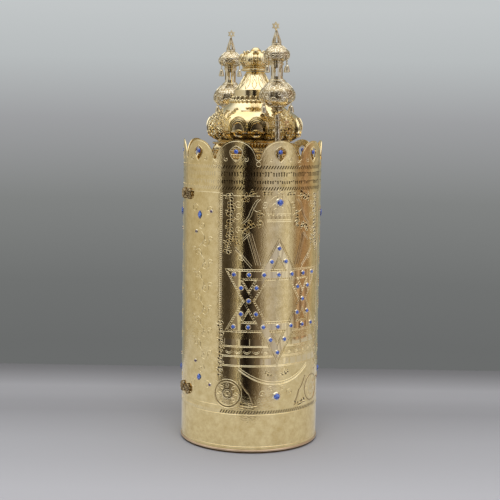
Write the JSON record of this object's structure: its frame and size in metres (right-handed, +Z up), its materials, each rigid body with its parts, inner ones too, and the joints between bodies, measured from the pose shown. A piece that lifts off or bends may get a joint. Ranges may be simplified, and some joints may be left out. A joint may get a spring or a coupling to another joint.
{
  "type": "torah case",
  "caption": "Cylindrical torah case in gilt metal whose two halves open on a side hinge, with a lobed crest, lift-off crown, belled finials and blue stones.",
  "frame": {"origin": "on the case's vertical axis, at the underside on which it stands", "axes": "+Z up, -Y out of the middle of the front half, +X towards the hinges, -X towards the clasps"},
  "size_m": [0.2914, 0.313, 0.8414],
  "materials": {
    "gilt_sheet": "engraved pale gold, polished and stippled",
    "gilt_floor": "thin gilt skin over board",
    "rim_metal": "satin, rosy pale gold",
    "crown_gilt": "chased warm gold, polished",
    "pale_gilt": "granulated pale gold",
    "dark_bronze": "aged, dark",
    "blue_stone": "faceted"
  },
  "bodies": {
    "front": {"front_shell": "gilt_sheet", "front_floor": "gilt_floor", "front_foot_rim": "rim_metal", "front_top_plate": "gilt_sheet", "front_crown_stone": "blue_stone", "front_low_stone": "blue_stone", "front_crest_stone_1": "blue_stone", "front_crest_stone_2": "blue_stone", "front_crest_stone_3": "blue_stone", "front_crest_stone_4": "blue_stone", "front_crest_stone_5": "blue_stone", "front_upper_clasp": "dark_bronze", "front_upper_hinge_leaf": "gilt_sheet", "front_lower_clasp": "dark_bronze", "front_lower_hinge_leaf": "gilt_sheet", "front_finial": "pale_gilt", "front_lower_bell_1": "pale_gilt", "front_lower_bell_2": "pale_gilt", "front_lower_bell_3": "pale_gilt", "front_lower_bell_4": "pale_gilt", "front_upper_bell_1": "pale_gilt", "front_upper_bell_2": "pale_gilt", "front_upper_bell_3": "pale_gilt", "front_upper_bell_4": "pale_gilt", "upper_hinge_pin": "gilt_sheet", "lower_hinge_pin": "gilt_sheet", "crown": "crown_gilt", "crown_coronet": "crown_gilt", "crown_lock_plate": "crown_gilt"},
    "back": {"back_shell": "gilt_sheet", "back_floor": "gilt_floor", "back_foot_rim": "rim_metal", "back_top_plate": "gilt_sheet", "back_crown_stone": "blue_stone", "back_low_stone": "blue_stone", "back_crest_stone_1": "blue_stone", "back_crest_stone_2": "blue_stone", "back_crest_stone_3": "blue_stone", "back_crest_stone_4": "blue_stone", "back_crest_stone_5": "blue_stone", "back_upper_clasp": "dark_bronze", "back_upper_hinge_leaf": "gilt_sheet", "back_lower_clasp": "dark_bronze", "back_lower_hinge_leaf": "gilt_sheet", "back_finial": "pale_gilt", "back_lower_bell_1": "pale_gilt", "back_lower_bell_2": "pale_gilt", "back_lower_bell_3": "pale_gilt", "back_lower_bell_4": "pale_gilt", "back_upper_bell_1": "pale_gilt", "back_upper_bell_2": "pale_gilt", "back_upper_bell_3": "pale_gilt", "back_upper_bell_4": "pale_gilt"}
  },
  "joints": [
    {"name": "book_hinge", "type": "hinge", "parent": "front", "child": "back", "pos_m": [0.1431, 0, 0.3], "axis": [0, 0, -1], "range_deg": [0, 180]}
  ]
}
